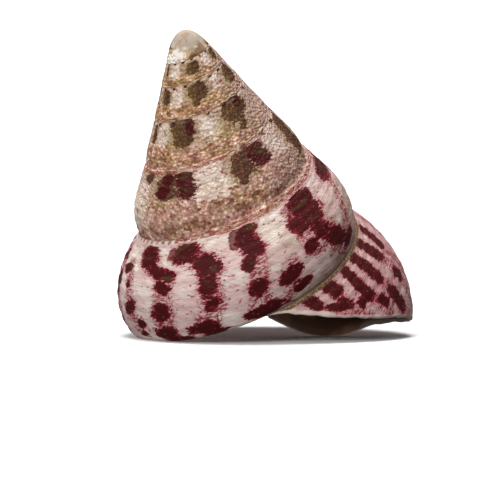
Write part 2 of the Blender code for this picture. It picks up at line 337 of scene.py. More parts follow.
# Flames: the dark marks that the animal laid into the wall, maroon on the body and browner on
# the old spire, with chalky cream between. Each is a half width in turns and a stroke through
# (turn, station) places. A station counts as a quarter turn, about its real length on the wall.
TURNS_PER_STATION = 0.25
MAROON_FLAMES = [
    (0.014, [(-3.114, 0.06), (-3.112, 0.32)]),
    (0.013, [(-2.938, 0.06), (-2.936, 0.36)]),
    (0.021, [(-2.086, 0.1), (-2.082, 0.3), (-2.092, 0.49)]),
    (0.019, [(-1.908, 0.12), (-1.915, 0.35), (-1.922, 0.51)]),
    (0.016, [(-1.872, 0.14), (-1.868, 0.28)]),
    (0.016, [(-1.866, 0.34), (-1.852, 0.46)]),
    (0.034, [(-1.31, 0.35), (-1.195, 0.34)]),
    (0.029, [(-1.112, 0.17), (-1.112, 0.38), (-1.116, 0.57)]),
    (0.017, [(-1.078, 0.4), (-1.092, 0.56)]),
    (0.015, [(-1.11, 0.58), (-1.12, 0.72)]),
    (0.017, [(-1.122, 0.72), (-1.148, 0.88)]),
    (0.013, [(-1.092, 0.66), (-1.086, 0.74)]),
    (0.013, [(-1.176, 0.88), (-1.15, 0.97)]),
    (0.017, [(-1.012, 0.17), (-1.002, 0.34), (-1.014, 0.54)]),
    (0.01, [(-1.0, 0.52), (-0.996, 0.64)]),
    (0.013, [(-1.006, 0.72), (-0.998, 0.86)]),
    (0.015, [(-1.06, 0.77), (-1.034, 0.86)]),
    (0.01, [(-1.072, 0.93), (-1.045, 0.97)]),
    (0.012, [(-1.024, 0.98), (-0.976, 0.99)]),
    (0.024, [(-0.912, 0.17), (-0.902, 0.38)]),
    (0.02, [(-0.932, 0.36), (-0.95, 0.56)]),
    (0.013, [(-0.942, 0.56), (-0.938, 0.72)]),
    (0.01, [(-0.948, 0.75), (-0.934, 0.84)]),
    (0.015, [(-0.94, 0.96), (-0.905, 0.98)]),
    (0.021, [(-0.828, 0.16), (-0.838, 0.42)]),
    (0.014, [(-0.845, 0.43), (-0.89, 0.52)]),
    (0.011, [(-0.864, 0.55), (-0.88, 0.64)]),
    (0.015, [(-0.87, 0.72), (-0.866, 0.86)]),
    (0.014, [(-0.884, 0.95), (-0.855, 0.98)]),
    (0.011, [(-0.792, 0.42), (-0.766, 0.5)]),
    (0.012, [(-0.815, 0.72), (-0.794, 0.82)]),
    (0.008, [(-0.834, 0.86), (-0.822, 0.92)]),
    (0.007, [(-0.832, 0.96), (-0.818, 1.0)]),
    (0.006, [(-0.798, 0.56), (-0.79, 0.62)]),
    (0.008, [(-0.744, 0.3), (-0.748, 0.42)]),
    (0.008, [(-0.752, 0.52), (-0.756, 0.64)]),
    (0.02, [(-1.03, 1.02), (-0.99, 1.14)]),
    (0.018, [(-0.945, 1.04), (-0.93, 1.22)]),
    (0.02, [(-0.885, 1.04), (-0.89, 1.3)]),
    (0.01, [(-0.226, 0.14), (-0.222, 0.34), (-0.222, 0.46)]),
    (0.01, [(-0.184, 0.1), (-0.19, 0.32), (-0.198, 0.46)]),
    (0.009, [(-0.2, 0.58), (-0.212, 0.7)]),
    (0.009, [(-0.152, 0.1), (-0.16, 0.34), (-0.166, 0.52)]),
    (0.009, [(-0.17, 0.58), (-0.18, 0.8)]),
    (0.008, [(-0.126, 0.11), (-0.13, 0.36), (-0.138, 0.52)]),
    (0.007, [(-0.146, 0.54), (-0.155, 0.64)]),
    (0.011, [(-0.09, 0.1), (-0.1, 0.3)]),
    (0.007, [(-0.096, 0.33), (-0.106, 0.43)]),
    (0.006, [(-0.118, 0.42), (-0.122, 0.5)]),
    (0.009, [(-0.056, 0.09), (-0.068, 0.28)]),
    (0.006, [(-0.076, 0.3), (-0.098, 0.4)]),
]
CRIMSON_WASHES = [
    (0.014, [(-1.22, 0.4), (-1.175, 0.75), (-1.165, 0.98)]),
    (0.026, [(-1.11, 0.17), (-1.11, 0.55), (-1.125, 0.75), (-1.155, 1.02)]),
    (0.014, [(-1.082, 0.22), (-1.082, 0.6), (-1.095, 0.84)]),
    (0.018, [(-1.01, 0.17), (-1.01, 0.6), (-1.0, 0.85), (-1.005, 1.1)]),
    (0.016, [(-1.055, 0.68), (-1.045, 0.9), (-1.03, 1.04)]),
    (0.021, [(-0.898, 0.16), (-0.93, 0.38), (-0.945, 0.55), (-0.942, 0.8), (-0.925, 1.0),
             (-0.935, 1.24)]),
    (0.02, [(-0.828, 0.16), (-0.85, 0.42), (-0.872, 0.52), (-0.87, 0.8), (-0.868, 1.0),
             (-0.885, 1.28)]),
    (0.014, [(-0.782, 0.34), (-0.798, 0.6), (-0.81, 0.8), (-0.825, 1.02)]),
    (0.013, [(-0.742, 0.2), (-0.752, 0.6), (-0.77, 1.0)]),
    (0.012, [(-0.27, 0.2), (-0.272, 0.6)]),
    (0.012, [(-0.226, 0.1), (-0.222, 0.45), (-0.236, 0.8)]),
    (0.011, [(-0.184, 0.08), (-0.197, 0.45), (-0.211, 0.75), (-0.221, 0.98)]),
    (0.011, [(-0.151, 0.08), (-0.165, 0.5), (-0.18, 0.82), (-0.19, 1.0)]),
    (0.01, [(-0.125, 0.08), (-0.137, 0.5), (-0.155, 0.72)]),
    (0.011, [(-0.088, 0.08), (-0.104, 0.42), (-0.122, 0.6)]),
    (0.009, [(-0.055, 0.06), (-0.07, 0.3), (-0.1, 0.44)]),
]
BROWN_FLAMES = [
    (0.036, [(-5.17, 0.12), (-5.165, 0.58)]),
    (0.05, [(-4.995, 0.16), (-4.985, 0.56)]),
    (0.018, [(-4.812, 0.1), (-4.805, 0.5)]),
    (0.052, [(-4.172, 0.1), (-4.165, 0.5)]),
    (0.048, [(-3.99, 0.1), (-3.98, 0.48)]),
    (0.018, [(-3.985, 0.46), (-3.965, 0.66)]),
    (0.03, [(-3.828, 0.1), (-3.825, 0.45)]),
    (0.056, [(-3.086, 0.0), (-3.08, 0.5)]),
    (0.014, [(-3.1, 0.5), (-3.08, 0.66)]),
    (0.05, [(-2.912, 0.0), (-2.908, 0.52)]),
    (0.015, [(-2.788, 0.08), (-2.786, 0.46)]),
    (0.034, [(-2.215, 0.08), (-2.21, 0.82)]),
    (0.032, [(-2.045, 0.1), (-2.04, 0.48)]),
    (0.012, [(-2.035, 0.48), (-2.03, 0.6)]),
    (0.036, [(-1.868, 0.1), (-1.862, 0.5)]),
    (0.02, [(-1.82, 0.1), (-1.79, 0.26)]),
    (0.014, [(-0.992, 0.18), (-0.984, 0.4)]),
    (0.012, [(-0.885, 0.18), (-0.88, 0.34)]),
]
CREAM_PATCHES = [
    (0.04, [(-5.092, 0.1), (-5.088, 0.58)]),
    (0.046, [(-4.876, 0.08), (-4.87, 0.6)]),
    (0.04, [(-4.078, 0.06), (-4.074, 0.52)]),
    (0.036, [(-3.898, 0.12), (-3.892, 0.58)]),
    (0.042, [(-2.992, 0.06), (-2.988, 0.54)]),
    (0.032, [(-2.84, 0.06), (-2.838, 0.5)]),
    (0.03, [(-2.145, 0.08), (-2.14, 0.54)]),
    (0.046, [(-1.968, 0.1), (-1.964, 0.64)]),
    (0.046, [(-1.78, 0.26), (-1.77, 0.9)]),
    (0.034, [(-1.165, 0.18), (-1.16, 0.46)]),
    (0.028, [(-1.05, 0.18), (-1.045, 0.5)]),
    (0.026, [(-0.962, 0.16), (-0.93, 0.24)]),
    (0.022, [(-0.862, 0.18), (-0.87, 0.4)]),
    (0.03, [(-0.785, 0.24), (-0.8, 0.4)]),
    (0.012, [(-0.205, 0.14), (-0.203, 0.4)]),
    (0.011, [(-0.168, 0.14), (-0.172, 0.34)]),
    (0.01, [(-0.108, 0.15), (-0.112, 0.34)]),
    (0.01, [(-0.04, 0.12), (-0.03, 0.18)]),
]


def stroke_field(strokes):
    """How far each corner of the sheet lies inside the nearest stroke, 1 on its line and 0 at its
    edge, and how many half widths it lies to one side of that line."""
    field = np.full(len(turns), -3.0)
    side = np.zeros(len(turns))
    for half_width, places in strokes:
        places = [np.array((turn, station * TURNS_PER_STATION)) for turn, station in places]
        for end, inner in ((0, 1), (-1, -2)):
            inward = places[inner] - places[end]
            length = math.hypot(*inward)
            places[end] = places[end] + inward * min(0.8 * half_width / length, 0.45)
        low = min(place[0] for place in places) - 4.0 * half_width
        high = max(place[0] for place in places) + 4.0 * half_width
        near = np.where((turns > low) & (turns < high))[0]
        x, y = turns[near], stations[near] * TURNS_PER_STATION
        for (ax, ay), (bx, by) in zip(places, places[1:]):
            bx, by = bx - ax, by - ay
            along = np.clip(((x - ax) * bx + (y - ay) * by) / (bx * bx + by * by), 0.0, 1.0)
            off_x, off_y = x - ax - along * bx, y - ay - along * by
            inside = 1.0 - np.hypot(off_x, off_y) / half_width
            better = inside > field[near]
            field[near] = np.where(better, inside, field[near])
            side[near] = np.where(better, np.clip(off_x / half_width, -1.5, 1.5), side[near])
    return field, side


# On the far side, the last part of each shifted turn, the marks go on in the same rhythm: six on
# a turn of the spire, ten to twelve on the body whorl and closer near the lip.
FIRST_MARK = -5.70
LAST_MARK = -0.26
FAR_SIDE_SHIFT = 0.28
FAR_SIDE_FROM = 0.54
BROWN_MARKS_END = -2.1
MARK_SPACINGS = ((BROWN_MARKS_END, 0.165), (-1.2, 0.100), (-0.6, 0.085), (0.0, 0.045))
LOWEST_MARK = 1.25

chance = np.random.default_rng(7)
turn = FIRST_MARK
while turn < LAST_MARK:
    spacing = next(width for end, width in MARK_SPACINGS if turn < end)
    if (turn + FAR_SIDE_SHIFT) % 1.0 > FAR_SIDE_FROM:
        half = spacing * chance.uniform(0.2, 0.3)
        top = chance.uniform(0.08, 0.15)
        between = turn + spacing * 0.5
        if turn < BROWN_MARKS_END:
            length = chance.uniform(0.32, 0.45)
            BROWN_FLAMES.append((half, [(turn, top), (turn - 0.005, top + length)]))
            if chance.random() < 0.6:
                beside = turn - half * 0.7
                MAROON_FLAMES.append((half * 0.4, [(beside, top), (beside, top + length)]))
            CREAM_PATCHES.append((half * 1.1, [(between, 0.1), (between, 0.5)]))
        else:
            station = max(top, 0.15)
            place = turn
            CRIMSON_WASHES.append((half, [(turn, 0.14), (turn - 0.02, 0.6), (turn - 0.03, LOWEST_MARK)]))
            while station < LOWEST_MARK:
                length = chance.uniform(0.10, 0.24)
                lower = place - length * chance.uniform(0.05, 0.16)
                stroke = [(place, station), (lower, station + length)]
                MAROON_FLAMES.append((half * chance.uniform(0.5, 0.9), stroke))
                station += length + chance.uniform(0.03, 0.10)
                place = lower
            CREAM_PATCHES.append((half * 0.8, [(between, 0.15), (between, 0.4)]))
    turn += spacing * chance.uniform(0.85, 1.15)

for name, strokes in (("maroon", MAROON_FLAMES), ("wash", CRIMSON_WASHES), ("brown", BROWN_FLAMES),
                      ("cream", CREAM_PATCHES)):
    field, side = stroke_field(strokes)
    keep_at_corners(name, field)
    if name == "brown":
        keep_at_corners("brown_side", side)


# Winding: the sheet is wound up by the rule that the shell grew by. A whorl profile is carried
# round the axis and grows by the same ratio with each turn, and beads and threads stand on it.
WINDING = {
    "Size": 0.0307,
    "Growth per turn": GROWTH_PER_TURN,
    "Wide radius on spire": 1.246,
    "Wide radius on body": 1.145,
    "Wide depth": 2.550,
    "Keel radius": 0.792,
    "Keel depth": 2.572,
    "Centre radius": 0.040,
    "Centre depth": 2.287,
    "Lower rounding": 0.140,
    "Keel rounding": 0.154,
    "Base rounding": 0.22,
    "Base straight from": 0.75,
    "Shoulder angle on spire": math.radians(33.0),
    "Shoulder angle on body": math.radians(67.0),
    "Shoulder on spire": 0.148,
    "Shoulder on body": 0.054,
    "Side rounding on spire": 0.068,
    "Side rounding on body": 0.394,
    "Side swell": 0.246,
    "Body begins": -3.5,
    "Body is full": -1.0,
    "Pinch": 0.176,
    "Pinch turns": 0.540,
    "Drop": 0.185,
    "Drop turns": 0.233,
    "Suture share": SUTURE_SHARE,
    "Suture share at lip": SUTURE_SHARE_AT_LIP,
    "Suture sinks turns": SUTURE_SINKS_TURNS,
    "Tip top": -0.004314,
    "Nodes per turn": 16.0,
    "Node height": 0.026,
    "Rim beads per turn": 62.0,
    "Rim bead height": 0.016,
    "Seam fill on spire": 0.034,
    "Seam fill on body": 0.066,
    "Seam fill slope": math.radians(26.0),
    "Granules per mm": 1.35,
    "Granule height": 0.013,
    "Thread rows": 10.0,
    "Thread height": 0.0035,
    "Growth line height": 0.0022,
    "Spin": math.radians(-88.46),
    "Lean to front": math.radians(20.55),
    "Lean to left": math.radians(-15.41),
}
FULL_TURN = 2.0 * math.pi
AXIS_STANDS = (-0.0168685, -0.0222798, 0.0633745)


class Field:
    """A value in a node tree, so that a growth rule or a colour can be written as arithmetic."""

    def __init__(self, socket):
        self.socket = socket
        self.tree = socket.id_data

    def math(self, operation, *others):
        return math_field(self.tree, operation, self, *others)

    def __add__(self, other):
        return self.math("ADD", other)

    def __radd__(self, other):
        return self.math("ADD", other)

    def __sub__(self, other):
        return self.math("SUBTRACT", other)

    def __rsub__(self, other):
        return math_field(self.tree, "SUBTRACT", other, self)

    def __mul__(self, other):
        return self.math("MULTIPLY", other)

    def __truediv__(self, other):
        return self.math("DIVIDE", other)

    def __rtruediv__(self, other):
        return math_field(self.tree, "DIVIDE", other, self)

    def __neg__(self):
        return self.math("MULTIPLY", -1.0)


def give(tree, socket, value):
    """Link a field to a socket, or set the number, place or colour that it is."""
    if isinstance(value, Field):
        tree.links.new(value.socket, socket)
    elif socket.type == "RGBA":
        socket.default_value = (*value, 1.0)
    else:
        socket.default_value = value


def add_node(tree, kind, inputs=(), **settings):
    node = tree.nodes.new(kind)
    for name, value in settings.items():
        setattr(node, name, value)
    for key, value in dict(inputs).items():
        give(tree, node.inputs[key], value)
    return node


def add_field(tree, kind, inputs=(), output=0, **settings):
    """The value that a new node puts out."""
    return Field(add_node(tree, kind, inputs, **settings).outputs[output])


def math_field(tree, operation, *values):
    return add_field(tree, "ShaderNodeMath", dict(enumerate(values)), operation=operation)


def rise(value, low, high):
    """0 below low, 1 above high, and smooth between."""
    return add_field(value.tree, "ShaderNodeMapRange", {"Value": value, "From Min": low, "From Max": high},
                     "Result", interpolation_type="SMOOTHSTEP")


def fall(value, low, high):
    """1 below low, 0 above high, and smooth between."""
    return 1.0 - rise(value, low, high)


def blend(tree, start, end, share):
    return add_field(tree, "ShaderNodeMix", {0: share, 2: start, 3: end}, data_type="FLOAT")


def blend_points(start, end, share):
    return add_field(start.tree, "ShaderNodeMix", {0: share, 4: start, 5: end}, 1, data_type="VECTOR")


def add_points(first, second):
    return add_field(first.tree, "ShaderNodeVectorMath", {0: first, 1: second}, operation="ADD")


def scale_point(point, factor):
    return add_field(point.tree, "ShaderNodeVectorMath", {0: point, "Scale": factor}, operation="SCALE")


def point_of(tree, x, y, z):
    return add_field(tree, "ShaderNodeCombineXYZ", {"X": x, "Y": y, "Z": z})


def parts_of(point):
    """The x, y and z of a point."""
    return [Field(part) for part in add_node(point.tree, "ShaderNodeSeparateXYZ", {0: point}).outputs]


def curve_point(points, share):
    """Point on the curve with these four control points, found by halving between them."""
    while len(points) > 1:
        points = [blend_points(a, b, share) for a, b in zip(points, points[1:])]
    return points[0]


winding = bpy.data.node_groups.new("winding", "GeometryNodeTree")
winding.interface.new_socket("Geometry", in_out="OUTPUT", socket_type="NodeSocketGeometry")
inputs = [("Geometry", "Geometry"), ("Axis stands at", "Vector"), ("Material", "Material")]
for name, kind in inputs + [(name, "Float") for name in WINDING]:
    winding.interface.new_socket(name, in_out="INPUT", socket_type="NodeSocket" + kind)
given = add_node(winding, "NodeGroupInput")
size_of = {name: Field(given.outputs[name]) for name in WINDING}


def sheet_value(name, data_type="FLOAT"):
    return add_field(winding, "GeometryNodeInputNamedAttribute", {"Name": name}, "Attribute",
                     data_type=data_type)


def reshape(shape, kind, **inputs):
    """The shape after one more geometry node."""
    return add_field(winding, "GeometryNode" + kind, {"Geometry": shape, **inputs})


def spire_to_body(name, share):
    """A size that changes from its value on the spire to its value on the body."""
    return blend(winding, size_of[name + " on spire"], size_of[name + " on body"], share)


def lower_curve(turn):
    """Control points from the widest point round to the keel, as (radius, 0, height)."""
    body = rise(turn, size_of["Body begins"], size_of["Body is full"])
    pinch = rise(turn, -size_of["Pinch turns"], 0.0) * size_of["Pinch"]
    drop = rise(turn, -size_of["Drop turns"], 0.0) * size_of["Drop"]
    wide = spire_to_body("Wide radius", body) - pinch
    wide_height = -(size_of["Wide depth"] + drop)
    keel = size_of["Keel radius"] - pinch
    keel_height = -(size_of["Keel depth"] + drop)
    return [point_of(winding, wide, 0.0, wide_height),
            point_of(winding, wide, 0.0, wide_height - size_of["Lower rounding"]),
            point_of(winding, keel + size_of["Keel rounding"], 0.0, keel_height),
            point_of(winding, keel, 0.0, keel_height)]


# The whorl profile: a side, a lower side and a base, each a curve with four control points. The
# side hangs from the suture, which lies on the lower side of the whorl above.
turn = sheet_value("turn")
station = sheet_value("station")
line = sheet_value("line")
growth = size_of["Growth per turn"]
one_turn_back = turn - 1.0
sinking = rise(one_turn_back, -1.0 - size_of["Suture sinks turns"], -1.0)
joint = blend(winding, size_of["Suture share"], size_of["Suture share at lip"], sinking)
suture = scale_point(curve_point(lower_curve(one_turn_back), joint), 1.0 / growth)
body_share = rise(turn, size_of["Body begins"], size_of["Body is full"])
shoulder_angle = spire_to_body("Shoulder angle", body_share)
shoulder = spire_to_body("Shoulder", body_share)
rounding = spire_to_body("Side rounding", body_share)
lower = lower_curve(turn)
leaving = point_of(winding, shoulder_angle.math("SINE") * shoulder, 0.0,
                   -(shoulder_angle.math("COSINE") * shoulder))
arriving = point_of(winding, size_of["Side swell"] * rounding, 0.0, rounding)
side = [suture, add_points(suture, leaving), add_points(lower[0], arriving), lower[0]]
centre = point_of(winding, size_of["Centre radius"], 0.0, -size_of["Centre depth"])
inward = point_of(winding, -size_of["Base rounding"], 0.0, 0.0)
base = [lower[3], add_points(lower[3], inward),
        blend_points(lower[3], centre, size_of["Base straight from"]), centre]
on_side = curve_point(side, station.math("MINIMUM", 1.0))
on_lower = curve_point(lower, (station - 1.0).math("MAXIMUM", 0.0))
on_base = curve_point(base, (station - 2.0).math("MAXIMUM", 0.0))
profile = blend_points(on_side, on_lower, station.math("GREATER_THAN", 1.0))
profile = blend_points(profile, on_base, station.math("GREATER_THAN", 2.0))

# Lime fills the sutures of the spire nearly flush, and leaves those of the last whorl open. The
# fill thins out down the whorl below a suture and round the edge of the whorl above it.
above_seam = station.math("GREATER_THAN", 0.6)
seam_turn = turn + above_seam
fill_below = (1.0 - station / 0.40).math("MAXIMUM", 0.0)
fill_share = blend(winding, fill_below, rise(station, 0.91, 1.16), above_seam)
fill = spire_to_body("Seam fill", rise(seam_turn, -2.6, -1.1))
fill = fill * fill_share * fall(seam_turn, -1.15, -0.60)
fill = fill * blend(winding, 1.0, growth, above_seam)
fill_slope = size_of["Seam fill slope"]
slope_out = point_of(winding, fill_slope.math("COSINE"), 0.0, fill_slope.math("SINE"))
profile = add_points(profile, scale_point(slope_out, fill))
grown = growth.math("POWER", turn)
local_size = grown * size_of["Size"]
radius, _, height = parts_of(scale_point(profile, local_size))
angle = turn * -FULL_TURN
wound_x = angle.math("COSINE") * radius
wound_y = angle.math("SINE") * radius

# The worn tip closes over the first whorl: its rings draw in and rise to a rounded point.
cap_angle = sheet_value("cap") * (0.5 * math.pi)
drawn_in = cap_angle.math("COSINE")
raised = cap_angle.math("SINE").math("POWER", 2.0)
capped = point_of(winding, wound_x * drawn_in, wound_y * drawn_in,
                  blend(winding, height, size_of["Tip top"], raised))
wall = reshape(Field(given.outputs["Geometry"]), "SetPosition", Position=capped)

# The hollow's rings move in from the wall towards the middle of their own ring.
ring_number = sheet_value("ring", "INT")


def ring_total(value, data_type):
    """The sum of a value over all points of the point's own ring."""
    return add_field(winding, "GeometryNodeAccumulateField", {"Group ID": ring_number, "Value": value},
                     "Total", data_type=data_type)


here = add_field(winding, "GeometryNodeInputPosition")
ring_middle = scale_point(ring_total(here, "FLOAT_VECTOR"), 1.0 / ring_total(1.0, "FLOAT"))
moved_in = blend_points(here, ring_middle, sheet_value("share"))
wall = reshape(wall, "SetPosition", Position=moved_in)

# Relief: nodes and beads at the spire's sutures, granules, spiral threads and growth lines.
BEADS_REACH_STATIONS = 0.075
outside = ring_number.math("LESS_THAN", -0.5)
below_cap = fall(sheet_value("cap"), 0.0, 0.15)


def beads_round(per_turn):
    """A wave from 0 to 1 round the shell, with so many beads to the turn."""
    return 0.5 - (turn * per_turn * FULL_TURN).math("COSINE") * 0.5


def row_at(middle):
    """A soft row round the shell with its middle at this station."""
    gap = (station - middle) / BEADS_REACH_STATIONS
    return (gap.math("POWER", 2.0) * -1.0).math("EXPONENT")


seam_row = row_at(0.0) + row_at(1.0 + SUTURE_SHARE)
spire_part = fall(turn, -3.2, -1.9)
node_lift = spire_part * beads_round(size_of["Nodes per turn"]) * seam_row * size_of["Node height"]
rim_part = rise(turn, -2.9, -2.4) * fall(turn + station * 0.6, -0.75, -0.60)
rim_lift = rim_part * beads_round(size_of["Rim beads per turn"]) * seam_row * size_of["Rim bead height"]
granule_place = scale_point(point_of(winding, grown * ALONG_MM, grown * sheet_value("down"), 0.0),
                            size_of["Granules per mm"])
granule_gap = add_field(winding, "ShaderNodeTexVoronoi",
                        {"Vector": granule_place, "Scale": 1.0, "Randomness": 0.9}, "Distance",
                        voronoi_dimensions="2D")
granule_part = fall(turn + station * 0.25, -1.80, -1.20)
granule_band = blend(winding, 0.3, 1.0, rise(station, 0.35, 0.65))
granule_dome = fall(granule_gap, 0.10, 0.65)
granule_lift = (granule_dome - 0.4) * granule_part * granule_band * size_of["Granule height"]
thread_wave = (station * size_of["Thread rows"] * FULL_TURN).math("COSINE")
thread_lift = thread_wave * rise(turn, -2.4, -1.6) * size_of["Thread height"]
line_place = point_of(winding, line * 210.0, station * 1.5, 0.0)
line_noise = add_field(winding, "ShaderNodeTexNoise", {"Vector": line_place, "Scale": 1.0, "Detail": 2.0},
                       noise_dimensions="2D")
line_lift = (line_noise - 0.5) * 2.0 * size_of["Growth line height"]
lift = (node_lift + rim_lift + granule_lift + thread_lift + line_lift) * local_size * outside * below_cap
lower_on_base = 1.0 - rise(station, 1.6, 2.2) * 0.7
off_surface = scale_point(add_field(winding, "GeometryNodeInputNormal"), lift * lower_on_base)
wall = reshape(wall, "SetPosition", Offset=off_surface)

# The wound shell leans as it lies, and the spots that it rests on are worn flat on the table.
spun = point_of(winding, 0.0, 0.0, size_of["Spin"])
leaning = point_of(winding, size_of["Lean to front"], size_of["Lean to left"], 0.0)
wall = reshape(wall, "Transform", Rotation=spun)
axis_place = Field(given.outputs["Axis stands at"])
wall = reshape(wall, "Transform", Rotation=leaning, Translation=axis_place)
x, y, z = parts_of(here)
on_table = point_of(winding, x, y, z.math("MAXIMUM", 0.0))
wall = reshape(wall, "SetPosition", Position=on_table)
wall = reshape(reshape(wall, "SetShadeSmooth"), "RealizeInstances")
wall = reshape(wall, "SetMaterial", Material=Field(given.outputs["Material"]))
add_node(winding, "NodeGroupOutput", {"Geometry": wall})


# Shell finish: pale pink lime with maroon flames, tan and worn on the old spire, with dirt and
# painted shade in the last suture, a pale lip and a brown inside darkened as painted shade. It is one
# material, mixed coat over coat along the directions that the shell grew in.
shell_finish = bpy.data.materials.new("shell_finish")
shell_finish.use_nodes = True
paint = shell_finish.node_tree
shader = paint.nodes["Principled BSDF"]


def read(name, output="Fac"):
    return add_field(paint, "ShaderNodeAttribute", output=output, attribute_name=name)


def mix(first, second, share, blend_type="MIX"):
    """This share of the second colour over the first."""
    return add_field(paint, "ShaderNodeMix", {0: share, 6: first, 7: second}, 2,
                     data_type="RGBA", blend_type=blend_type)


def tint(colour, by, share):
    """The colour multiplied by another, in this share."""
    return mix(colour, by, share, "MULTIPLY")


def noise(vector, scale, detail=2.0, dimensions="3D", roughness=0.5):
    return add_field(paint, "ShaderNodeTexNoise",
                     {"Vector": vector, "Scale": scale, "Detail": detail, "Roughness": roughness},
                     noise_dimensions=dimensions)


turn = read("laid_turn")
station = read("laid_station")
line = read("laid_line")
cap = read("cap")
along, down, _ = parts_of(read("laid_mm", "Vector"))
solid_place = add_field(paint, "ShaderNodeTexCoord", output="Object")


def grain(along_per_mm, down_per_mm, shift, detail=2.0, roughness=0.5):
    """Noise laid in the growth directions, by its waves to the millimetre and a shift in it."""
    place = point_of(paint, along * along_per_mm + shift, down * down_per_mm + shift, 0.0)
    return noise(place, 1.0, detail, "2D", roughness)


def cells(x, y, randomness):
    """Distance from the middle of the nearest cell, and a colour that differs from cell to cell."""
    node = add_node(paint, "ShaderNodeTexVoronoi",
                    {"Vector": point_of(paint, x, y, 0.0), "Scale": 1.0, "Randomness": randomness},
                    voronoi_dimensions="2D")
    return Field(node.outputs["Distance"]), Field(node.outputs["Color"])


# Stretches of the winding, in turns from the lip, over which one look gives way to the next.
OLD_WHORLS_END = (-2.2, -1.9)
FILLED_SEAM_ENDS = (-0.72, -0.60)
broad = grain(0.18, 0.42, 90.0) - 0.5
ragged = grain(0.45, 1.1, 0.0, 4.0, 0.6) - 0.5
fine = grain(1.5, 3.0, 40.0, 3.0, 0.6) - 0.5
on_spire = fall(turn + ragged * 0.6, -1.95, -1.15)
old_part = fall(turn, -3.6, -2.2)
lower_band = rise(station + broad * 0.8 + ragged * 0.6 + fine * 0.3, 0.26, 0.62)

# The ground: pale pink on the body, cream to tan above, and mottled below the middle of each
# spire whorl.
BODY_GROUND = (0.60, 0.44, 0.415)
BODY_PALE = (0.68, 0.585, 0.53)
BLUSH = (0.50, 0.25, 0.255)
TAN = (0.46, 0.33, 0.195)
PINK_TAN = (0.52, 0.33, 0.265)
PINK_BROWN = (0.27, 0.145, 0.105)
OLIVE = (0.31, 0.24, 0.115)
CREAM = (0.60, 0.495, 0.41)
CHALK = (0.74, 0.67, 0.60)
GREY_PINK = (0.56, 0.40, 0.36)
GREY_TAN = (0.46, 0.35, 0.305)
SEAM_SHADE_TINT = (0.90, 0.80, 0.76)
body = mix(BODY_GROUND, BODY_PALE, rise(grain(0.10, 0.30, 9.0), 0.42, 0.66))
body = mix(body, BLUSH, rise(grain(0.22, 1.5, 17.0, 3.0), 0.50, 0.74) * 0.7)
old_tint = old_part * 0.12
grey_spots = rise(grain(0.12, 0.35, 13.0, 3.0), 0.40, 0.56)
olive_spots = rise(grain(0.24, 0.5, 23.0) + old_tint * 0.5, 0.53, 0.62)
brown_spots = rise(grain(0.22, 0.45, 37.0, 3.0), 0.53, 0.64)
mottled = mix(PINK_TAN, TAN, rise(grain(0.16, 0.42, 5.0) + old_tint, 0.47, 0.56))
mottled = mix(mottled, GREY_PINK, grey_spots * (0.95 - old_part * 0.8))
mottled = mix(mottled, OLIVE, olive_spots * (0.5 + old_part * 0.3))
mottled = mix(mottled, PINK_BROWN, brown_spots * (0.8 - old_part * 0.4))
mottled = mix(mottled, CREAM, rise(grain(0.35, 0.8, 31.0), 0.56, 0.66) * 0.85)
spire = mix(mottled, GREY_TAN, (1.0 - lower_band) * 0.55)
wide_seam = rise(turn, -1.60, -1.35) * fall(turn, -0.98, -0.88)
seam = fall(station + fine * 0.05 - wide_seam * (0.045 + broad * 0.08), 0.085, 0.125)
on_seam = seam * fall(turn, *FILLED_SEAM_ENDS)
# Below each filled suture the mottled ground is tinted darker as painted shade in the crease.
ground = mix(mix(body, spire, on_spire), tint(mottled, SEAM_SHADE_TINT, 1.0), on_seam)
cream_field = read("cream") + broad * 1.5 + ragged * 1.6 + fine * 1.1
cream_mask = rise(cream_field, 0.05, 0.30) * (1.0 - on_seam)
ground = mix(ground, mix(CREAM, CHALK, rise(grain(0.3, 0.7, 51.0), 0.40, 0.65)), cream_mask * 0.9)

# Beads crowd the spire, each a little lighter or darker than the next; their tops are paler, and the
# gaps between them are darkened as painted shade.
BEAD_TINTS_AND_SHADE = (0.76, 0.64, 0.57), (1.12, 1.11, 1.09)
BEAD_TONES = (0.74, 0.62, 0.57), (1.22, 1.22, 1.20)
BLOTCH_TINTS = (0.72, 0.60, 0.56), (1.32, 1.31, 1.28)
beads_per_mm = WINDING["Granules per mm"]
bead_gap, bead_tone = cells(along * beads_per_mm, down * beads_per_mm, 0.9)
beaded = fall(turn + station * 0.25, -1.80, -1.20).math("MAXIMUM", on_seam)
bead = fall(bead_gap, 0.10, 0.65)
bead_share = beaded * (0.5 + lower_band * 0.5) * (1.0 - cream_mask * 0.6)
blotch_share = beaded * (0.45 + lower_band * 0.45) * (1.0 - cream_mask * 0.7)
ground = tint(ground, mix(*BEAD_TINTS_AND_SHADE, bead), bead_share)
ground = tint(ground, mix(*BEAD_TONES, rise(bead_tone, 0.22, 0.78)), bead_share)
blotches = rise(grain(0.62, 0.85, 330.0, 3.0, 0.6), 0.38, 0.60)
ground = tint(ground, mix(*BLOTCH_TINTS, blotches), blotch_share)

# Painted shade makes the older ground darker and duller on the right side of the shell as it lies; a thin
# olive film lies low on the body whorl, and the last third of a turn is a duller pink.
PAINTED_SHADE_ANGLE = 1.50
PAINTED_SHADE_PINK = (0.47, 0.31, 0.31)
PAINTED_SHADE_TAN = (0.36, 0.25, 0.225)
FILM = (0.37, 0.29, 0.21)
LATE_TINT = (0.74, 0.58, 0.62)
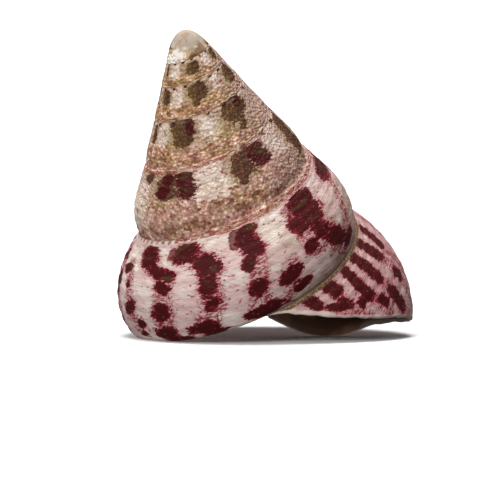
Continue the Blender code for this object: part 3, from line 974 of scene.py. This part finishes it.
# Painted shade: towards the shell's right side the ground turns a darker pink on the body and a darker tan
# on the spire.
toward_painted_shade = (turn * FULL_TURN + PAINTED_SHADE_ANGLE).math("COSINE")
painted_shade_side = rise(toward_painted_shade + ragged * 0.8, 0.35, 0.95)
ground = mix(ground, mix(PAINTED_SHADE_PINK, PAINTED_SHADE_TAN, on_spire), painted_shade_side * fall(turn, -1.05, -0.90) * 0.6)
film_part = fall(turn, -1.08, -1.00) * rise(station, 0.40, 0.60) * (1.0 - on_spire)
film = rise(grain(0.10, 0.26, 400.0, 4.0, 0.6), 0.40, 0.60) * film_part
ground = mix(ground, FILM, film * 0.75)
late_whorl = rise(turn, -0.34, -0.26)
ground = tint(ground, LATE_TINT, late_whorl * 0.9)

# The flames: brown ones on the spire, dark to the right and paler to the left, and maroon ones
# on the body, in columns that a net of crimson lines fills.
DARK_BROWN = (0.070, 0.026, 0.012)
DARK_OLIVE = (0.050, 0.027, 0.009)
OLIVE_BROWN = (0.135, 0.065, 0.020)
MAROON_BROWN = (0.105, 0.032, 0.020)
BROWN_BEAD_TINTS_AND_SHADE = (0.5, 0.5, 0.5), (1.9, 1.8, 1.5)
MAROON = (0.052, 0.003, 0.004)
SPIRE_MAROON = (0.050, 0.003, 0.003)
CRIMSON = (0.235, 0.012, 0.026)
STAIN = (0.40, 0.17, 0.17)
SPECK = (0.46, 0.25, 0.21)
BLOT = (0.115, 0.02, 0.02)
brown_side = read("brown_side") + ragged * 1.5
brown_field = read("brown") + broad * 1.3 + ragged + fine * 0.8
brown_mask = rise(brown_field - rise(brown_side, 0.1, 0.9) * 0.25, 0.0, 0.16)
brown = mix(OLIVE_BROWN, MAROON_BROWN, rise(turn, -2.6, -2.1) * 0.8)
brown = mix(DARK_BROWN, brown, rise(brown_side, -0.5, 0.6))
# On the brown flames the bead tops are paler and the gaps between beads darker, as painted shade.
brown = tint(brown, mix(*BROWN_BEAD_TINTS_AND_SHADE, bead * bead_tone), 0.85)
coat = mix(ground, OLIVE, rise(brown_field, -0.50, 0.0) * on_spire * 0.55)
coat = mix(coat, brown, brown_mask * 0.95)
frayed = grain(0.8, 2.6, 15.0, 4.0, 0.65) - 0.5
maroon_field = read("maroon") + ragged + frayed * (1.0 - on_spire * 0.2) + fine * 0.4
maroon_field = maroon_field - on_seam + on_spire * 0.2
wash_field = read("wash")
in_wash = rise(wash_field + ragged * 1.2, -0.15, 0.40) * (1.0 - seam)
net_gap = (grain(0.55, 1.7, 70.0) - 0.5).math("ABSOLUTE")
wash_flecks = rise(frayed + wash_field * 0.10, 0.10, 0.16)
wash = in_wash * fall(net_gap, 0.018, 0.060).math("MAXIMUM", wash_flecks)
coat = mix(coat, STAIN, rise(wash_field + ragged, -0.05, 0.6) * 0.34)
coat = mix(coat, STAIN, rise(maroon_field, -0.6, -0.05) * (0.35 - on_spire * 0.3))
coat = mix(coat, CRIMSON, wash * 0.95)
coat = mix(coat, CRIMSON, rise(maroon_field, -0.10, 0.02) * (0.95 - on_spire * 0.7))
olive_part = rise(grain(0.20, 0.5, 61.0, 3.0) - station * 0.5, 0.385, 0.44) * (0.9 - late_whorl * 0.8)
deep = mix(mix(MAROON, SPIRE_MAROON, on_spire), DARK_OLIVE, olive_part)
coat = mix(coat, deep, rise(maroon_field + fine * 0.5, 0.0, 0.22) * 0.97)
flecks = rise(grain(0.55, 1.1, 80.0, 3.0), 0.66, 0.71) * (1.0 - beaded)
coat = mix(coat, CRIMSON, flecks * 0.7)
specks = rise(grain(1.1, 2.0, 60.0, 1.0), 0.76, 0.84)
in_flame = brown_mask.math("MAXIMUM", rise(maroon_field, -0.05, 0.1))
coat = mix(coat, SPECK, specks * in_flame * 0.5)
dot_places = rise(grain(0.20, 0.4, 260.0) - old_part * 0.08, 0.46, 0.54)
bead_dots = rise(bead_tone, 0.66, 0.72) * dot_places * beaded * bead
coat = mix(coat, CRIMSON, bead_dots * (1.0 - in_flame) * 0.8)
blots = rise(grain(0.42, 0.8, 290.0), 0.66, 0.71) * on_spire * (0.9 - old_part * 0.5)
coat = mix(coat, BLOT, blots * 0.85)

# Fine spiral lines and growth lines, small dark dots, a lowest edge darkened as painted shade above the
# last suture and a speckled base.
SPIRAL_TINT = (0.72, 0.52, 0.52)
GROWTH_TINT = (0.80, 0.72, 0.70)
DOT = (0.10, 0.03, 0.03)
LOW_EDGE_SHADE_TINT = (0.50, 0.36, 0.31)
spiral_lines = grain(0.25, 3.6, 120.0, 3.0, 0.6)
growth_lines = noise(point_of(paint, line * 300.0, station * 2.0, 0.0), 1.0, 3.0, "2D")
# The spiral lines are drawn deeper where the painted shade lies.
line_depth = painted_shade_side * (1.0 - on_spire) * 0.5 + 0.3
coat = tint(coat, SPIRAL_TINT, rise(spiral_lines, 0.50, 0.64) * line_depth)
on_cap = rise(cap, 0.0, 0.10)
line_share = (0.5 - beaded * 0.4) * (1.0 - on_cap)
coat = tint(coat, GROWTH_TINT, rise(growth_lines, 0.50, 0.68) * line_share)
dot_gap, dot_tone = cells(along * 0.36, down * 0.5, 1.0)
coat = mix(coat, DOT, fall(dot_gap, 0.06, 0.12) * rise(dot_tone, 0.82, 0.84) * 0.85)
# Painted shade: the lowest edge of the whorl above the last suture is darkened where it overhangs.
low_edge_shade = rise(station + ragged * 0.15, 0.94, 1.08) * fall(station, 1.30, 1.50)
low_edge_shade = low_edge_shade * (1.0 - on_spire) * fall(turn, -1.02, -0.96)
coat = tint(coat, LOW_EDGE_SHADE_TINT, low_edge_shade * 0.50)
base_flecks = rise(grain(0.30, 0.8, 200.0, 3.0), 0.53, 0.59)
coat = mix(coat, CRIMSON, base_flecks * rise(station, 1.30, 1.60) * 0.85)

# Along the old sutures stand pale knobs with dark pits of painted shade between them, then a row of beads,
# and the last suture is a groove with green-brown dirt, painted shade and painted gold glints.
PIT_SHADE = (0.035, 0.012, 0.009)
PIT_STATION = 0.085
GROOVE_STATION = 0.098
GROOVE_DIRT_SHADE_AND_GLINTS = (0.070, 0.040, 0.018), (0.40, 0.29, 0.11)
CREASE_DIRT_SHADE_AND_GLINTS = (0.105, 0.060, 0.028), (0.26, 0.17, 0.09)
pit_wave = (turn * (WINDING["Nodes per turn"] * FULL_TURN)).math("COSINE")
rim_wave = (turn * (WINDING["Rim beads per turn"] * FULL_TURN)).math("COSINE")
above_suture = rise(station, 0.5, 0.6)
at_edge = rise(station + fine * 0.1, 0.96, 1.04).math("MAXIMUM", seam)
old_edge = at_edge * fall(turn, *OLD_WHORLS_END) * (1.0 - above_suture * 0.7)
beaded_edge = at_edge * rise(turn, *OLD_WHORLS_END) * fall(turn, *FILLED_SEAM_ENDS)
beaded_edge = beaded_edge * (1.0 - rise(turn, -1.6, -1.35) * above_suture)
knobs = old_edge * fall(pit_wave + ragged * 3.0 + fine, -0.4, 0.5)
coat = mix(coat, CREAM, knobs * (0.6 - brown_mask * 0.5))
# The near-black pits are painted shade in the hollows between the knobs.
pit_row = fall((station - PIT_STATION + ragged * 0.06).math("ABSOLUTE"), 0.035, 0.065)
pits = pit_row * fall(turn, *OLD_WHORLS_END) * rise(pit_wave + ragged * 1.6 + fine, 0.60, 0.80)
coat = mix(coat, PIT_SHADE, pits * 0.95)
edge_flecks = rise(grain(0.45, 1.2, 310.0, 3.0), 0.50, 0.56) * fall(turn, -0.90, -0.84)
coat = mix(coat, CRIMSON, beaded_edge * edge_flecks * 0.65)
rim_beads = beaded_edge * fall(rim_wave + ragged * 2.0, -0.6, 0.4) * rise(turn, -0.98, -0.90)
coat = mix(coat, CHALK, rim_beads * (1.0 - edge_flecks) * 0.85)
late = rise(turn, -0.50, -0.32)
# Beside the groove, in the crease of the suture, a dark strip of dirt and painted shade with painted
# glints.
beside_groove = fall(station + ragged * 0.06, 0.07, 0.12) * late
crease_dirt_and_shade = mix(*CREASE_DIRT_SHADE_AND_GLINTS, rise(grain(1.2, 3.0, 170.0, 3.0), 0.44, 0.60))
coat = mix(coat, crease_dirt_and_shade, beside_groove * 0.85)
# The groove itself is green-brown dirt and painted shade with painted gold glints.
groove_gap = (station + fine * 0.06 - GROOVE_STATION).math("ABSOLUTE")
groove = fall(groove_gap + ragged * 0.02, 0.010, 0.030) * late
coat = mix(coat, mix(*GROOVE_DIRT_SHADE_AND_GLINTS, rise(grain(1.4, 4.0, 150.0), 0.52, 0.66)), groove * 0.95)

# The worn tip with its brown stain, the pale broken lip and the inside, brown nacre darkened as painted
# shade.
TIP_STAIN_STANDS = (-0.0126, -0.0228, 0.0556)
TIP_STAIN = (0.19, 0.11, 0.052)
WORN = (0.28, 0.205, 0.145), (0.34, 0.275, 0.215)
WORN_PALE = (0.45, 0.39, 0.33)
LIP = (0.56, 0.46, 0.41)
RIM = (0.30, 0.235, 0.21)
PEARL_AND_SHADE = (0.24, 0.125, 0.080), (0.095, 0.045, 0.028)
tip = fall(turn + broad * 0.8, -5.62, -5.40).math("MAXIMUM", rise(cap, 0.0, 0.05))
tip_noise = noise(solid_place, 420.0, 4.0, roughness=0.6)
worn = mix(*WORN, rise(tip_noise + cap * 0.15, 0.44, 0.52))
worn = mix(worn, WORN_PALE, rise(tip_noise - cap * 0.05, 0.52, 0.60))
patch_noise = tip_noise + (noise(solid_place, 190.0, 3.0) - 0.5) * 1.2
tip_patches = mix(CHALK, TAN, rise(patch_noise, 0.42, 0.50))
tip_patches = mix(tip_patches, OLIVE_BROWN, rise(patch_noise, 0.56, 0.62))
worn = mix(tip_patches, worn, rise(cap + (tip_noise - 0.5) * 0.9, 0.25, 0.45))
spot_gap = add_field(paint, "ShaderNodeVectorMath", {0: solid_place, 1: TIP_STAIN_STANDS}, "Value",
                     operation="DISTANCE")
near_spot = spot_gap + (tip_noise - 0.5) * 0.008
worn = mix(worn, TIP_STAIN, fall(near_spot, 0.0008, 0.0019) * 0.9)
coat = mix(coat, worn, tip)
nubs = rise(station, 0.02, 0.10) * fall(station, 0.34, 0.42)
lip = rise(line + ragged * 0.008 + nubs * 0.006, -0.0050, -0.0020)
coat = mix(coat, LIP, lip * (0.55 + nubs * 0.4))
depth_share = read("share")
coat = mix(coat, RIM, rise(depth_share, 0.010, 0.050))
# The inside is brown nacre, darkened as painted shade deep in the mouth.
pearl_and_shade = mix(*PEARL_AND_SHADE, rise(noise(solid_place, 140.0), 0.40, 0.62))
coat = mix(coat, pearl_and_shade, rise(depth_share, 0.0575, 0.064))

ROUGHNESS = 0.60
SHINE = 0.10
BUMP_STRENGTH = 0.7
BUMP_METRES = 0.00017
give(paint, shader.inputs["Base Color"], coat)
give(paint, shader.inputs["Roughness"], ROUGHNESS + fine * 0.5)
shader.inputs["Specular IOR Level"].default_value = SHINE
laid_bump = (bead * beaded * 1.1 + spiral_lines * (0.6 - beaded * 0.3) + growth_lines * (0.5 - beaded * 0.4)
             + grain(3.0, 3.0, 90.0, 3.0) * 0.6 + bead_tone * beaded * 0.4)
bump_height = blend(paint, laid_bump, tip_noise * 0.8, on_cap)
give(paint, shader.inputs["Normal"], add_field(paint, "ShaderNodeBump", {
    "Height": bump_height, "Strength": BUMP_STRENGTH, "Distance": BUMP_METRES}))


# The finished sheet is wound, made a plain mesh and put in the place of the plain solid.
flat_shell = bpy.data.objects.new("shell_sheet", sheet)
bpy.context.scene.collection.objects.link(flat_shell)
modifier = flat_shell.modifiers.new("winding", "NODES")
modifier.node_group = winding
socket_ids = {item.name: item.identifier for item in winding.interface.items_tree if item.in_out == "INPUT"}
for name, value in WINDING.items():
    modifier[socket_ids[name]] = value
modifier[socket_ids["Axis stands at"]] = AXIS_STANDS
modifier[socket_ids["Material"]] = shell_finish
bpy.context.view_layer.update()
settled = bpy.context.evaluated_depsgraph_get()
shell_mesh = bpy.data.meshes.new_from_object(flat_shell.evaluated_get(settled),
                                             preserve_all_data_layers=True, depsgraph=settled)
shell_mesh.name = "grown_shell"
flat_shell.modifiers.remove(modifier)
bpy.data.objects.remove(flat_shell)
grown_shell = bpy.data.objects.new("grown_shell", shell_mesh)
bpy.context.scene.collection.objects.link(grown_shell)
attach(grown_shell, "root")
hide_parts("shell")
